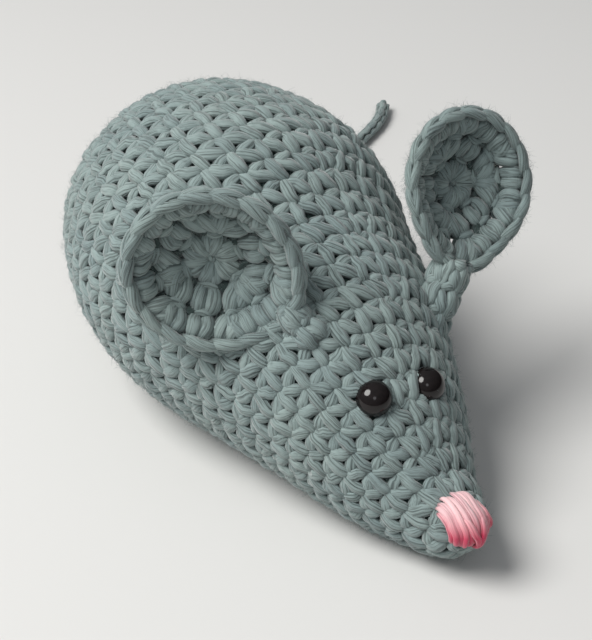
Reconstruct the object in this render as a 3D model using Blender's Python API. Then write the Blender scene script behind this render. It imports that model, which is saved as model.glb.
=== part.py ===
"""Crocheted toy mouse: a stuffed teardrop body with cupped ears, bead eyes, a sewn nose and a tail.

The nose points to -Y and the back up, so the mouse's left is +X.  Lengths are in metres.
Distances "from the rump" run along the body towards the nose.
"""

import math

import bmesh
import bpy
import numpy as np
from mathutils import Vector

MM = 0.001
GAP = 0.3 * MM                # left between pieces that touch

# Body: rings of crochet round a level axis, each (distance from the rump, radius, underside height).
BODY_LENGTH = 106 * MM
STATIONS = [(distance * MM, radius * MM, underside * MM) for distance, radius, underside in (
    (0, 0, 22), (5, 17.1, 8), (15, 25, 2.8), (30, 29.7, -2), (45, 29.5, -2.6), (58.5, 24.8, -1.6),
    (72, 20.2, -0.6), (85, 14.4, -0.8), (95.5, 8.4, 0.4), (102.3, 5.2, 3.4), (106, 0, 9.5))]
FLOOR_SOFTNESS = 0.8 * MM     # how gently the stuffed belly flattens on the floor
NECK = 62 * MM                # where the head meets the trunk
TRUNK_RINGS, HEAD_RINGS, RING_POINTS = 20, 18, 40

# Ears: crocheted bowls.  centre, reach (sewn corner to far rim) and facing are body directions.
EAR_THICKNESS = 2.4 * MM
EAR_DEPTH = 6.2 * MM
EAR_CAP_ANGLE = math.radians(48)      # half angle of the bowl's curve
EAR_CORNER_SPREAD = 0.5               # half width of the gathered corner, in radians
EAR_RINGS, EAR_POINTS = 7, 32
EARS = {
    "ear_right": dict(centre=(-21.5, -10.3, 45.5), reach=(-0.69, 0.52, 0.51), facing=(-0.53, -0.84, 0.13),
                      radius=13.6 * MM, corner=0.10, width=0.96, root=(-9.6, -19.5, 34.5)),
    "ear_left": dict(centre=(28.2, -14.1, 47.0), reach=(0.47, 0.39, 0.79), facing=(-0.01, -0.90, 0.45),
                     radius=12.1 * MM, corner=0.26, width=1.0, root=(15.6, -19.5, 28.0)),
}
STEM_RADIUS = 3.0 * MM                # gathered yarn between an ear's corner and the head

# Eyes: round beads with a stem inside the head, so only the dome shows.
EYE_RADIUS = 3.0 * MM
EYE_HEIGHT = 2.5 * MM
EYE_FROM_RUMP = 85.0 * MM
EYE_ANGLE = 0.372                     # from the top of the head, in radians
EYE_POINTS, EYE_RINGS = 28, 7

# Nose: a pad of satin stitches over the tip of the snout.
NOSE_CENTRE = (0, 102.3 * MM, 9.9 * MM)       # across, from the rump, height
NOSE_RADII = (5.3 * MM, 4.5 * MM, 4.9 * MM)

# Tail: a crocheted cord sewn to the rump, which droops to the floor and lies out to the left.
TAIL_RADIUS = 1.7 * MM
TAIL_ROUTE = [Vector(point) * MM for point in (
    (0.2, 53.0, 16.0), (0.9, 57.6, 14.4), (3.2, 61.6, 10.4), (7.4, 64.6, 5.6), (13.2, 66.6, 2.5),
    (20.5, 67.8, 1.75), (29, 68.3, 1.75), (38, 68.7, 1.75), (47, 69.6, 1.75), (56, 71.4, 1.75),
    (65, 74.4, 1.75), (73, 78.2, 1.75), (80, 82.0, 1.75), (85.5, 85.9, 1.75), (89.5, 90.3, 1.75))]
TAIL_POINTS = 44

COLOURS = {
    "yarn": (0.255, 0.335, 0.322, 1),
    "bead": (0.012, 0.009, 0.010, 1),
    "nose_thread": (0.80, 0.47, 0.49, 1),
}
ROUGHNESS = {"yarn": 0.85, "bead": 0.12, "nose_thread": 0.5}


def clear_scene():
    for item in list(bpy.data.objects):
        bpy.data.objects.remove(item)


def material(kind, node):
    made = bpy.data.materials.new(f"{node}_{kind}")
    made.use_nodes = True
    shader = made.node_tree.nodes["Principled BSDF"]
    shader.inputs["Base Color"].default_value = COLOURS[kind]
    shader.inputs["Roughness"].default_value = ROUGHNESS[kind]
    return made


def mesh_object(name, points, faces, kind):
    mesh = bpy.data.meshes.new(name)
    mesh.from_pydata([tuple(point) for point in points], [], faces)
    shape = bmesh.new()
    shape.from_mesh(mesh)
    bmesh.ops.recalc_face_normals(shape, faces=shape.faces)
    shape.to_mesh(mesh)
    shape.free()
    mesh.shade_smooth()
    mesh.materials.append(material(kind, name))
    made = bpy.data.objects.new(name, mesh)
    bpy.context.collection.objects.link(made)
    return made


def tube_faces(rings, points, close_start=True, close_end=True):
    """Faces between rings of points, each ring turning the same way, with flat or pointed ends."""
    faces = []
    for ring in range(rings - 1):
        for point in range(points):
            after = (point + 1) % points
            low, high = ring * points, (ring + 1) * points
            faces.append((low + point, low + after, high + after, high + point))
    if close_start:
        faces.append(tuple(reversed(range(points))))
    if close_end:
        faces.append(tuple(range((rings - 1) * points, rings * points)))
    return faces


def through(values, place):
    """Catmull-Rom curve through values; place 0 is the second value, so both ends need a neighbour."""
    index = np.clip(np.floor(place).astype(int), 0, len(values) - 4)
    part = place - index
    before, start, end, after = (values[index + step] for step in range(4))
    bend = 3 * (start - end) + after - before
    return start + 0.5 * part * (end - before + part * (2 * before - 5 * start + 4 * end - after + part * bend))


def profile():
    """Distance from the rump, radius and axis height, finely sampled, with round ends."""
    distance, radius, underside = (np.array(column) for column in zip(*STATIONS))
    centre = underside + radius
    place = np.linspace(0, len(STATIONS) - 1, 900)
    distance = np.concatenate(([distance[1]], distance, [distance[-2]]))
    radius = np.concatenate(([-radius[1]], radius, [-radius[-2]]))
    centre = np.concatenate(([centre[1]], centre, [centre[-2]]))
    return through(distance, place), through(radius, place), through(centre, place)


def floor_flattened(height):
    soft = FLOOR_SOFTNESS
    bent = (height + soft) ** 2 / (4 * soft)
    return np.where(height > soft, height, np.where(height < -soft, 0.0, bent))


def body_rings(start, end, count, swell=0.0):
    """Rings of body points from one distance to another, evenly spaced along the surface."""
    distance, radius, centre = profile()
    along = np.concatenate(([0], np.cumsum(np.hypot(np.diff(distance), np.diff(radius)))))
    rising = np.maximum.accumulate(distance)
    first, last = (np.interp(limit, rising, along) for limit in (start, end))
    picks = np.linspace(first, last, count)
    turn = np.linspace(0, 2 * math.pi, RING_POINTS, endpoint=False)
    rings = []
    for pick in picks:
        ring_radius = max(np.interp(pick, along, radius), 0.25 * MM) + swell
        x = ring_radius * np.sin(turn)
        z = floor_flattened(np.interp(pick, along, centre) + ring_radius * np.cos(turn))
        y = np.full_like(x, BODY_LENGTH / 2 - np.interp(pick, along, distance))
        rings.append(np.stack([x, y, z], axis=1))
    return rings


def body_piece(name, start, end, rings, swell=0.0):
    """A closed length of the body; swell makes it larger all round, for a cutter."""
    stack = body_rings(start, end, rings, swell)
    return mesh_object(name, np.concatenate(stack), tube_faces(rings, RING_POINTS), "yarn")


def hide_cutter(cutter):
    cutter.hide_render = True
    cutter.display_type = "WIRE"
    return cutter


def boolean(target, operation, other):
    modifier = target.modifiers.new(operation.lower(), "BOOLEAN")
    modifier.operation = operation
    modifier.solver = "EXACT"
    modifier.object = other


def surface_point(from_rump, angle):
    """Point on the body and its outward normal, at an angle from the top."""
    distance, radius, centre = profile()
    rising = np.maximum.accumulate(distance)

    def point(along, turn):
        ring_radius, height = (np.interp(along, rising, values) for values in (radius, centre))
        return Vector((ring_radius * math.sin(turn), BODY_LENGTH / 2 - along,
                       height + ring_radius * math.cos(turn)))

    step = 0.5 * MM
    forward = point(from_rump + step, angle) - point(from_rump - step, angle)
    sideways = point(from_rump, angle + 0.02) - point(from_rump, angle - 0.02)
    return point(from_rump, angle), sideways.cross(forward).normalized() * -1


def ear_frame(ear):
    """The bowl's centre and its axes: towards the far rim, across, and out of the opening."""
    reach = Vector(ear["reach"]).normalized()
    facing = Vector(ear["facing"])
    facing = (facing - facing.dot(reach) * reach).normalized()
    return Vector(ear["centre"]) * MM, reach, facing.cross(reach), facing


def ear_point(ear, out, turn):
    """Point of the bowl's middle surface: out 0 at its centre, 1 at its rim; turn 0 at the sewn corner."""
    centre, reach, across, facing = ear_frame(ear)
    turn = (turn + math.pi) % (2 * math.pi) - math.pi
    corner = 1 + ear["corner"] * math.exp(-(turn / EAR_CORNER_SPREAD) ** 2) * out
    spread = ear["radius"] * corner * math.sin(out * EAR_CAP_ANGLE) / math.sin(EAR_CAP_ANGLE)
    sink = EAR_DEPTH * (math.cos(out * EAR_CAP_ANGLE) - math.cos(EAR_CAP_ANGLE)) / (1 - math.cos(EAR_CAP_ANGLE))
    return (centre - reach * math.cos(turn) * spread
            + across * math.sin(turn) * spread * ear["width"] - facing * sink)


def ear_normal(ear, out, turn):
    """Direction from the bowl's surface towards its opening."""
    step = 0.02
    inward = ear_point(ear, max(out, step) + step, turn) - ear_point(ear, max(out, step) - step, turn)
    around = ear_point(ear, max(out, step), turn + step) - ear_point(ear, max(out, step), turn - step)
    normal = inward.cross(around).normalized()
    facing = ear_frame(ear)[3]
    return normal if normal.dot(facing) > 0 else -normal


def ear_shell(name, ear):
    """The bowl as a closed shell: outer side from the rim to the centre, then back up inside it."""
    half = EAR_THICKNESS / 2
    outs = [0.04 + 0.96 * ring / (EAR_RINGS - 1) for ring in range(EAR_RINGS)]
    layers = [(out, -half) for out in outs] + [(1.0 + half / ear["radius"], 0.0)]
    layers += [(out, half) for out in reversed(outs)]
    points = []
    for out, lift in layers:
        for step in range(EAR_POINTS):
            turn = 2 * math.pi * step / EAR_POINTS
            points.append(ear_point(ear, out, turn) + ear_normal(ear, min(out, 1.0), turn) * lift)
    return mesh_object(name, points, tube_faces(len(layers), EAR_POINTS), "yarn")


def stem(name, ear):
    """Gathered yarn from inside the head to the ear's corner, as a tapered round stem."""
    root = Vector(ear["root"]) * MM
    corner = ear_point(ear, 0.9, 0.0)
    axis = (corner - root).normalized()
    side = axis.orthogonal().normalized()
    other = axis.cross(side)
    points = []
    for part, radius in ((0.0, 1.1), (0.5, 1.05), (0.85, 0.9), (1.0, 0.5)):
        for step in range(16):
            turn = 2 * math.pi * step / 16
            reach = (side * math.cos(turn) + other * math.sin(turn)) * STEM_RADIUS * radius
            points.append(root.lerp(corner, part) + reach)
    return hide_cutter(mesh_object(name, points, tube_faces(4, 16), "yarn"))


def make_ear(name, ear, body_cutter):
    shell = ear_shell(name, ear)
    boolean(shell, "UNION", stem(f"{name}_stem_shape", ear))
    boolean(shell, "DIFFERENCE", body_cutter)
    return shell


def make_eye(name, side):
    """A domed bead standing just clear of the head, its flat back along the surface."""
    place, normal = surface_point(EYE_FROM_RUMP, side * EYE_ANGLE)
    across = normal.cross(Vector((0, 1, 0))).normalized()
    up = normal.cross(across)
    points = []
    for ring in range(EYE_RINGS):
        rise = math.pi / 2 * ring / EYE_RINGS
        for step in range(EYE_POINTS):
            turn = 2 * math.pi * step / EYE_POINTS
            out = (across * math.cos(turn) + up * math.sin(turn)) * EYE_RADIUS * math.cos(rise)
            points.append(place + out + normal * (GAP + EYE_HEIGHT * math.sin(rise)))
    faces = tube_faces(EYE_RINGS, EYE_POINTS)
    return mesh_object(name, points, faces, "bead")


def ellipsoid(name, swell, kind, rings=12, around=24):
    centre = Vector((NOSE_CENTRE[0], BODY_LENGTH / 2 - NOSE_CENTRE[1], NOSE_CENTRE[2]))
    radii = [radius + swell for radius in NOSE_RADII]
    points = []
    for ring in range(rings):
        fall = math.pi * (ring + 0.5) / rings
        for step in range(around):
            turn = 2 * math.pi * step / around
            points.append(centre + Vector((radii[0] * math.sin(fall) * math.cos(turn),
                                           radii[1] * math.cos(fall),
                                           radii[2] * math.sin(fall) * math.sin(turn))))
    return mesh_object(name, points, tube_faces(rings, around), kind)


def make_tail():
    """A round cord on a smooth curve through the route, with its far end rounded by hand sewing."""
    route = [2 * TAIL_ROUTE[0] - TAIL_ROUTE[1]] + TAIL_ROUTE + [2 * TAIL_ROUTE[-1] - TAIL_ROUTE[-2]]
    columns = [np.array([point[axis] for point in route]) for axis in range(3)]
    place = np.linspace(0, len(TAIL_ROUTE) - 1, TAIL_POINTS)
    smooth = np.stack([through(column, place) for column in columns], axis=1)
    curve = bpy.data.curves.new("tail", "CURVE")
    curve.dimensions = "3D"
    curve.bevel_depth = TAIL_RADIUS
    curve.bevel_resolution = 2
    curve.use_fill_caps = True
    spline = curve.splines.new("POLY")
    spline.points.add(len(smooth) - 1)
    for point, position in zip(spline.points, smooth):
        point.co = (*position, 1)
    curve.materials.append(material("yarn", "tail"))
    tail = bpy.data.objects.new("tail", curve)
    bpy.context.collection.objects.link(tail)
    return tail


def outer_box(pieces):
    """Lowest and highest corner of the pieces' own points."""
    corners = np.array([tuple(vertex.co) for piece in pieces for vertex in piece.data.vertices])
    return corners.min(axis=0), corners.max(axis=0)


def build():
    clear_scene()
    trunk = body_piece("trunk", 0, NECK - GAP / 2, TRUNK_RINGS)
    head = body_piece("head", NECK + GAP / 2, BODY_LENGTH, HEAD_RINGS)
    clearance = hide_cutter(body_piece("body_clearance", 0, BODY_LENGTH, TRUNK_RINGS + HEAD_RINGS, GAP))
    nose = ellipsoid("nose", 0.0, "nose_thread")
    boolean(head, "DIFFERENCE", hide_cutter(ellipsoid("nose_clearance", GAP, "nose_thread")))
    ears = [make_ear(name, ear, clearance) for name, ear in EARS.items()]
    eyes = [make_eye("eye_right", -1), make_eye("eye_left", 1)]
    make_tail()
    low, high = outer_box([trunk, head, nose, *ears, *eyes])
    frame = bpy.data.objects.new("base_centre", None)
    bpy.context.collection.objects.link(frame)
    frame.location = (-(low[0] + high[0]) / 2, -(low[1] + high[1]) / 2, -low[2])
    for item in bpy.data.objects:
        if item is not frame:
            item.parent = frame


build()
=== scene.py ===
"""Looks of the crocheted toy mouse: every stitch is yarn over a core painted in the dark of the shade
between stitches.

Lengths are in metres unless a comment says mm.  The nose points to -Y, the back up, and the mouse's left
is +X.  A stitch is laid out in its own square: "across" counts stitches round the body, "along" counts
rounds from the rump to the nose, and "lift" is the height over the finished yarn surface.
"""

import math

import bpy
import numpy as np
from mathutils import Matrix, Vector


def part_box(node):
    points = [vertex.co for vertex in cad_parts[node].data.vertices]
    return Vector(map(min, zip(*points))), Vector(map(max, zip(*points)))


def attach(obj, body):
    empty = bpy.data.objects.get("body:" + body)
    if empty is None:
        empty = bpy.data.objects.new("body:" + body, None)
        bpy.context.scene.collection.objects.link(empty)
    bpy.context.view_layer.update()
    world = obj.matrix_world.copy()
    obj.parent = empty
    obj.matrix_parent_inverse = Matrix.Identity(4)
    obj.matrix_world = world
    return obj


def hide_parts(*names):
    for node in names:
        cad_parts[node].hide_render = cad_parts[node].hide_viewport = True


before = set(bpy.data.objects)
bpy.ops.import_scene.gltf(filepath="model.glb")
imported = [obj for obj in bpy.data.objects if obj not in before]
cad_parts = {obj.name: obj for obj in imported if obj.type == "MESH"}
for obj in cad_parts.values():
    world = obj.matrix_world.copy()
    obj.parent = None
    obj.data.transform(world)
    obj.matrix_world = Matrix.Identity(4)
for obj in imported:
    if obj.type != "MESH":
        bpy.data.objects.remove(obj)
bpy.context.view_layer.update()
MM = 0.001
chance = np.random.RandomState(11)

# Body rings, as in the CAD: (distance from the rump, radius, underside height).
BODY_LENGTH = 106 * MM
STATIONS = [(distance * MM, radius * MM, underside * MM) for distance, radius, underside in (
    (0, 0, 22), (5, 17.1, 8), (15, 25, 2.8), (30, 29.7, -2), (45, 29.5, -2.6), (58.5, 24.8, -1.6),
    (72, 20.2, -0.6), (85, 14.4, -0.8), (95.5, 8.4, 0.4), (102.3, 5.2, 3.4), (106, 0, 9.5))]
FLOOR_SOFTNESS = 0.8 * MM
trunk_low, trunk_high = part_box("trunk")
ORIGIN = Vector(((trunk_low.x + trunk_high.x) / 2, trunk_high.y - BODY_LENGTH / 2, 0))

# Crochet gauge.
ROUND_HEIGHT = 4.25 * MM  # measured along the back
STITCH_WIDTH = 4.4 * MM  # on the head; the stuffing stretches the stitches of the fullest rounds
FULL_WIDTH = 5.4 * MM
FULL_FROM, FULL_AT = 15 * MM, 27 * MM  # body radius where the stretch starts and where it is full
LEAN = -0.13  # how far each round drifts sideways, in stitches
COUNT_STEP = 3  # the count in each round is a multiple of this
FEWEST_STITCHES = 6
MOST_CHANGE = 6  # stitches gained or lost in one round, at most
NARROWEST = 0.6  # width left to a stitch that shares its hole, in stitches
STITCH_SCALES = (0.35, 1.02)  # least and most width of a stitch, as a share of the fullest
BODY_PIECES = {"yarn_rump": 0, "yarn_hips": 8, "yarn_middle": 13, "yarn_shoulders": 18,
               "yarn_neck": 23, "yarn_face": 28}  # first round of each
CORE_DEPTH = 1.30 * MM  # core under the yarn surface, painted dark as the shade between the stitches

# Strands of yarn. Ranges are for random draws.
GROOVE = 0.17  # depth of the grooves between plies, as a share of the strand's radius
PLY_ANGLES = (-38, 218)  # the part of a strand's section that shows plies, in degrees from its side
UNDER_ANGLES = (244, 270, 296)
UNDER_RIDGE = 0.6  # painted shade and swell of the plain underside: 0 as in a groove, 1 as on a ridge
LEG_RINGS = 13
DRAWN_STRAIGHT = 0.3  # how far a strand's width follows its ends instead of its bends
THICKNESS_RANGE = (0.91, 1.09)
WINDING_RANGE = (0.6, 1.4)
PLY_DRIFT = 0.09  # in radians
PLY_CLOSENESS = (0, 0.8)  # 1 would close a groove
PLY_UNEVENNESS = 0.05
SHADOW_DEPTH = 2.1 * MM  # depth in the stitches where the painted shade in the yarn's colour is darkest
STITCH_SHAKE = (0.045, 0.045, 0.1125)  # how far a point strays across, along (stitches) and up (mm)
END_SHAKE = 0.3  # share of that at a strand's hidden ends
CHAIN_SHAKE = 0.04
BAKE_PATCH = 0.003  # side of each strand's patch on the OFBake map
WHOLE_MAP = (0.02, 0.02, 0.96, 0.96)  # left, bottom, width and height of an area of the map
FIBRE_PATTERN_SHIFT = (17.0, 5.0)  # moves the fibre pattern from strand to strand

# A single crochet seen from its right side, as (across, along, lift in mm).  A lens stands on the hole and
# reaches the next round; a band runs slantwise to the next stitch's top, where it narrows into the hole;
# from there a fan opens back over the top of this stitch.
LENS = ((0.02, -0.08, -2.0), (0.00, 0.06, -1.08), (0.00, 0.28, -0.75), (0.03, 0.54, -0.60),
        (0.07, 0.80, -0.68), (0.12, 1.02, -0.98), (0.15, 1.22, -1.9))
BAND = ((0.10, 0.07, -1.8), (0.21, 0.20, -1.00), (0.35, 0.36, -0.74), (0.53, 0.53, -0.66),
        (0.70, 0.71, -0.82), (0.87, 0.88, -1.24), (1.00, 1.00, -2.0))
FAN = ((1.02, 0.97, -2.0), (0.95, 1.00, -1.40), (0.83, 1.04, -1.00), (0.69, 1.09, -0.82),
       (0.55, 1.14, -0.78), (0.41, 1.19, -0.98), (0.27, 1.25, -1.8))
LENS_TAPER = ((0, 0.50), (0.2, 0.86), (0.5, 1.0), (0.74, 0.92), (0.9, 0.66), (1, 0.30))
BAND_TAPER = ((0, 0.60), (0.15, 0.92), (0.35, 1.0), (0.55, 0.98), (0.75, 0.78), (0.9, 0.50), (1, 0.25))
FAN_OPENING = ((0, 0.28), (0.2, 0.56), (0.4, 0.82), (0.6, 1.0), (0.8, 1.12), (1, 1.10))
# Leg, (half width, half height, plies that show), taper, rings and twist in radians.
STITCH_LEGS = (
    (FAN, (1.22 * MM, 0.78 * MM, 7), FAN_OPENING, 9, 0.1),
    (BAND, (1.32 * MM, 0.90 * MM, 8), BAND_TAPER, 11, 0.25),
    (LENS, (1.24 * MM, 0.94 * MM, 7), LENS_TAPER, 11, -0.7),
)
LEG_TAPER = ((0, 0.30), (0.14, 0.72), (0.32, 1.0), (0.5, 1.0), (0.7, 0.97), (0.88, 0.80), (1, 0.40))
# The wrong side of the same stitch: a bar over two short legs.
BACK_BAR = ((-0.62, 0.60, -2.0), (-0.42, 0.70, -1.0), (-0.12, 0.80, -0.65), (0.18, 0.78, -0.70),
            (0.42, 0.66, -1.05), (0.55, 0.54, -2.0))
BACK_LEG = ((-0.04, -0.02, -2.0), (-0.10, 0.10, -1.15), (-0.22, 0.30, -0.85), (-0.30, 0.50, -1.05),
            (-0.33, 0.68, -1.9))
BACK_LEGS = (BACK_LEG, [(-across, along, lift) for across, along, lift in BACK_LEG], BACK_BAR)
BACK_SIZE = (1.15 * MM, 0.78 * MM, 6)
BACK_SCALE = 1.08
# Inside an ear each stitch is a fan of two full legs with a short bar over their feet.
FAN_LEFT = ((-0.05, -0.06, -2.4), (-0.13, 0.10, -1.45), (-0.22, 0.34, -0.62), (-0.24, 0.60, -0.28),
            (-0.20, 0.84, -0.62), (-0.15, 1.04, -1.9))
FAN_RIGHT = ((0.07, -0.04, -2.4), (0.13, 0.11, -1.50), (0.21, 0.36, -0.70), (0.24, 0.62, -0.36),
             (0.21, 0.85, -0.70), (0.16, 1.04, -1.9))
FAN_BAR = ((-0.44, 0.18, -1.9), (-0.28, 0.07, -1.0), (0.00, 0.00, -0.55), (0.28, 0.06, -1.0),
           (0.44, 0.16, -1.9))
FAN_TAPER = ((0, 0.30), (0.2, 0.66), (0.45, 0.95), (0.7, 1.04), (0.88, 0.85), (1, 0.45))
INNER_LEGS = (  # leg, (half width, half height, plies that show), taper
    (FAN_BAR, (0.85 * MM, 0.62 * MM, 5), LEG_TAPER),
    (FAN_LEFT, (1.34 * MM, 0.90 * MM, 8), FAN_TAPER),
    (FAN_RIGHT, (1.34 * MM, 0.90 * MM, 8), FAN_TAPER),
)
# One arm of a chain stitch round a rim or a cord: (along in stitches, angle in degrees, lift in mm).
CHAIN_ARM = ((-0.32, 4, -1.5), (-0.06, 24, -0.85), (0.30, 50, -0.60), (0.74, 52, -0.60),
             (1.10, 30, -0.75), (1.38, 8, -1.5))
RIM_ARM = ((-0.34, -6, -1.7), (-0.02, 8, -0.80), (0.36, 30, -0.42), (0.78, 54, -0.36), (1.14, 70, -0.70),
           (1.42, 78, -1.7))
CHAIN_SIZE, CHAIN_SCALE = (0.88 * MM, 0.66 * MM, 5), 0.92
RIM_SIZE, RIM_TWIST = (0.92 * MM, 0.70 * MM, 7), 0.6

# Loose fibres that stand off the yarn.
FIBRE_RADIUS = 0.020 * MM
FIBRE_LENGTHS = (0.7 * MM, 2.1 * MM)
FIBRE_RINGS = 3
FIBRE_SIDES = 3
FIBRE_ROOT = 0.10 * MM  # depth of a fibre's root under the yarn surface
FIBRE_TIP = 0.35  # a tip's radius as a share of the root's
FIBRE_RISE, FIBRE_CURL, FIBRE_DROOP = (0.3, 1.0), (-0.7, 0.7), (0.0, 0.4)  # shares of a fibre's length
BODY_FIBRES, EAR_FIBRES, RIM_FIBRES, TAIL_FIBRES = 14000, 900, 1900, 1200

# Ears, as in the CAD: places in mm from ORIGIN; a stem's radii are at the head and at the ear's corner.
EAR_THICKNESS = 2.4 * MM
EAR_DEPTH = 6.2 * MM
EAR_CAP_ANGLE = math.radians(48)
EAR_CORNER_SPREAD = 0.5
EARS = {
    "ear_right": dict(centre=(-21.5, -10.3, 45.5), reach=(-0.69, 0.52, 0.51), facing=(-0.53, -0.84, 0.13),
                      radius=13.6 * MM, corner=0.10, width=0.96, root=(-9.6, -19.5, 34.5),
                      stem=(3.3 * MM, 2.5 * MM)),
    "ear_left": dict(centre=(28.2, -14.1, 47.0), reach=(0.47, 0.39, 0.79), facing=(-0.01, -0.90, 0.45),
                     radius=12.1 * MM, corner=0.26, width=1.0, root=(15.6, -19.5, 28.0),
                     stem=(4.4 * MM, 3.4 * MM)),
}
EAR_ROUNDS = (0.0, 0.31, 0.63, 0.94)  # where each round ends, from the bowl's centre to its rim
EAR_COUNTS = (6, 12, 18)
EAR_PLAIN_RADIUS = 13.0 * MM  # a bowl of this radius has strands of the sizes above
EAR_RIM_RADIUS = 1.18 * MM
EAR_RIM_OUT = 0.965  # the braid's middle, from the bowl's centre to its rim
EAR_EDGE_STEP = 0.3  # height of a round past the last one, in the same measure
EAR_MAPS = (0.02, 0.02, 0.45, 0.60), (0.52, 0.02, 0.45, 0.60)  # areas of the inner and outer side
EAR_RIM_MAP = (0.02, 0.70, 0.90, 0.10)
STEM_MAP = (0.02, 0.88, 0.60, 0.10)
STEM_STITCHES = 6
STEM_SCALE = 0.95
STEM_FROM, STEM_TO = -0.40, 0.98  # ends of the worked stem, as shares of the way to the corner
STEM_CORNER = 0.9  # the corner's place, from the bowl's centre to its rim

# Eyes, nose and tail, as in the CAD.
EYE_RADIUS = 3.0 * MM
EYE_HEIGHT = 2.6 * MM
EYE_RINGS, EYE_SIDES = 22, 56
EYE_UNDER = -0.5  # angle of a dome's lowest ring, hidden in the yarn
EYES = {  # distance from the rump, angle from the top of the head, depth in the yarn
    "eye_right": (85.0 * MM, -0.372, 0.55 * MM),
    "eye_left": (86.0 * MM, 0.42, 0.95 * MM),
}
# The nose's satin threads: sideways and over-the-tip angle where each starts and ends, and its lift in mm.
NOSE_THREADS = (
    (-40, 122, -60, -4, 0.0), (-33, 127, -50, -12, 0.2), (-25, 132, -39, -17, 0.0),
    (-17, 134, -29, -20, 0.25), (-8, 129, -17, -20, 0.0), (1, 131, -2, -16, 0.2),
    (8, 130, 11, -14, 0.0), (14, 125, 25, -12, 0.25), (20, 115, 39, -10, 0.05),
    (25, 103, 53, -6, 0.2), (22, 62, -6, -18, 0.5), (-20, 72, 4, -19, 0.45))
THREAD_SIZE, THREAD_RINGS, THREAD_TWIST = (0.54 * MM, 0.46 * MM, 5), 26, 0.9
THREAD_TAPER = ((0, 0.5), (0.12, 0.9), (0.5, 1.12), (0.88, 0.95), (1, 0.5))
THREAD_LIFTS = (-1.4, -0.35, 0.0, 0.05, 0.0, -0.35, -1.4)  # along each thread, in mm
THREAD_STRAY = 1.5  # in degrees
NOSE_PAD = 0.74  # the pad's size as a share of the nose
NOSE_SHIFT = (-0.7 * MM, 0, 0)
NOSE_WIDTHS = (0.93, 1, 1)
NOSE_REACH, NOSE_BACK_REACH = 0.97, 0.45  # shares of the nose's size, and what is added at the back
NOSE_BACK_FROM, NOSE_BACK_TO = 70, 126  # angles over the tip, in degrees
NOSE_LOW = (11.7 * MM, 14.9 * MM)  # heights between which the painted shade and painted reddish bounce light, a deeper pink underneath, fade out
TAIL_RADIUS = 1.7 * MM
TAIL_CORE = 0.55  # the core's radius as a share of the tail's
TAIL_UP = (0.0, 0.3, 1.0)  # the cord's upper side at its root
TAIL_COLUMNS = ((0, 0.25), (180, 0.75))  # angle round the cord of each column of chain, and its start
TAIL_ROUTE = ((0.2, 53.0, 16.0), (0.9, 57.6, 14.4), (3.2, 61.6, 10.4), (7.4, 64.6, 5.6), (13.2, 66.6, 2.5),
              (20.5, 67.8, 1.75), (29, 68.3, 1.75), (38, 68.7, 1.75), (47, 69.6, 1.75), (56, 71.4, 1.75),
              (65, 74.4, 1.75), (73, 78.2, 1.75), (80, 82.0, 1.75), (85.5, 85.9, 1.75), (89.5, 90.3, 1.75))
TAIL_POINTS = 140
TAIL_LINK = 3.5 * MM
TAIL_MAP = (0.0, 0.05, 1.0, 0.90)
TAIL_SEWING = 2.6 * MM  # reach of the sewing each way from the tail's start
TAIL_SEWING_STRANDS = 8
TAIL_SEWING_SIZE = (0.82 * MM, 0.62 * MM, 6)
TAIL_SEWING_TURN = 0.16  # share of a turn that each strand winds round the tail
TAIL_SEWING_REACH = (1.4, 1.9)  # range of the strands' lengths, in reaches
TAIL_SEWING_LIFTS = (0.9, 0.7, 0.2, -0.1, -0.35, -1.4)  # along each strand, in mm

# Camera, lights and sky.
CAMERA_TARGET = (0.612, -0.881, 22.035)  # in mm from ORIGIN
CAMERA_TURN, CAMERA_RISE, CAMERA_ROLL = (math.radians(angle) for angle in (33.57, 35.07, -1.08))
CAMERA_DISTANCE = 249.8 * MM
CAMERA_LENS = 78.75
LIGHT_TARGET = (0, 0, 0.025)
LIGHTS = {  # place, diameter, power in watts, colour
    "key": ((-0.45, 0.12, 0.70), 0.50, 7.7, (1.0, 0.99, 0.97)),
    "front_fill": ((-0.30, -0.60, 0.60), 0.25, 0.3, (0.96, 0.98, 1.0)),
}
SKY_COLOUR = (0.93, 0.96, 1.0, 1)
SKY_BRIGHT_SIDE = Vector((-0.45, 0.15, 0.88)).normalized()
SKY_DIMMEST, SKY_BRIGHTEST = 0.01, 0.40
FLOOR_REACH = 3

COLOURS = {
    "yarn": (0.228, 0.292, 0.286),
    "yarn_painted_shade": (0.041, 0.066, 0.062),
    "bead": (0.006, 0.004, 0.004),
    "nose": (0.87, 0.56, 0.58),
    "nose_painted_shade": (0.30, 0.07, 0.09),
    "nose_low_shade_and_bounce": (0.60, 0.035, 0.10),
    "floor": (0.68, 0.675, 0.66),
}


# ------------ curves and surfaces

def unit(vectors):
    return vectors / np.maximum(np.linalg.norm(vectors, axis=-1, keepdims=True), 1e-12)


def dot(first, second):
    return (first * second).sum(axis=-1, keepdims=True)


def through(before, start, end, after, part):
    """The Catmull-Rom curve from start to end."""
    bend = 3 * (start - end) + after - before
    turn = 2 * before - 5 * start + 4 * end - after
    return start + 0.5 * part * (end - before + part * (turn + part * bend))


def round_angles(count):
    return np.linspace(0, 2 * math.pi, count, endpoint=False)


def lengths_along(line):
    return np.concatenate(([0], np.cumsum(np.linalg.norm(np.diff(line, axis=0), axis=1))))


def smooth_routes(routes, count):
    """Curves through control points: (strands, controls, 3) becomes (strands, count, 3)."""
    routes = np.asarray(routes, float)
    first = 2 * routes[:, :1] - routes[:, 1:2]
    last = 2 * routes[:, -1:] - routes[:, -2:-1]
    padded = np.concatenate((first, routes, last), axis=1)
    place = np.linspace(0, routes.shape[1] - 1, count)
    index = np.minimum(np.floor(place).astype(int), routes.shape[1] - 2)
    part = (place - index)[None, :, None]
    return through(*(padded[:, index + step] for step in range(4)), part)


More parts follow.
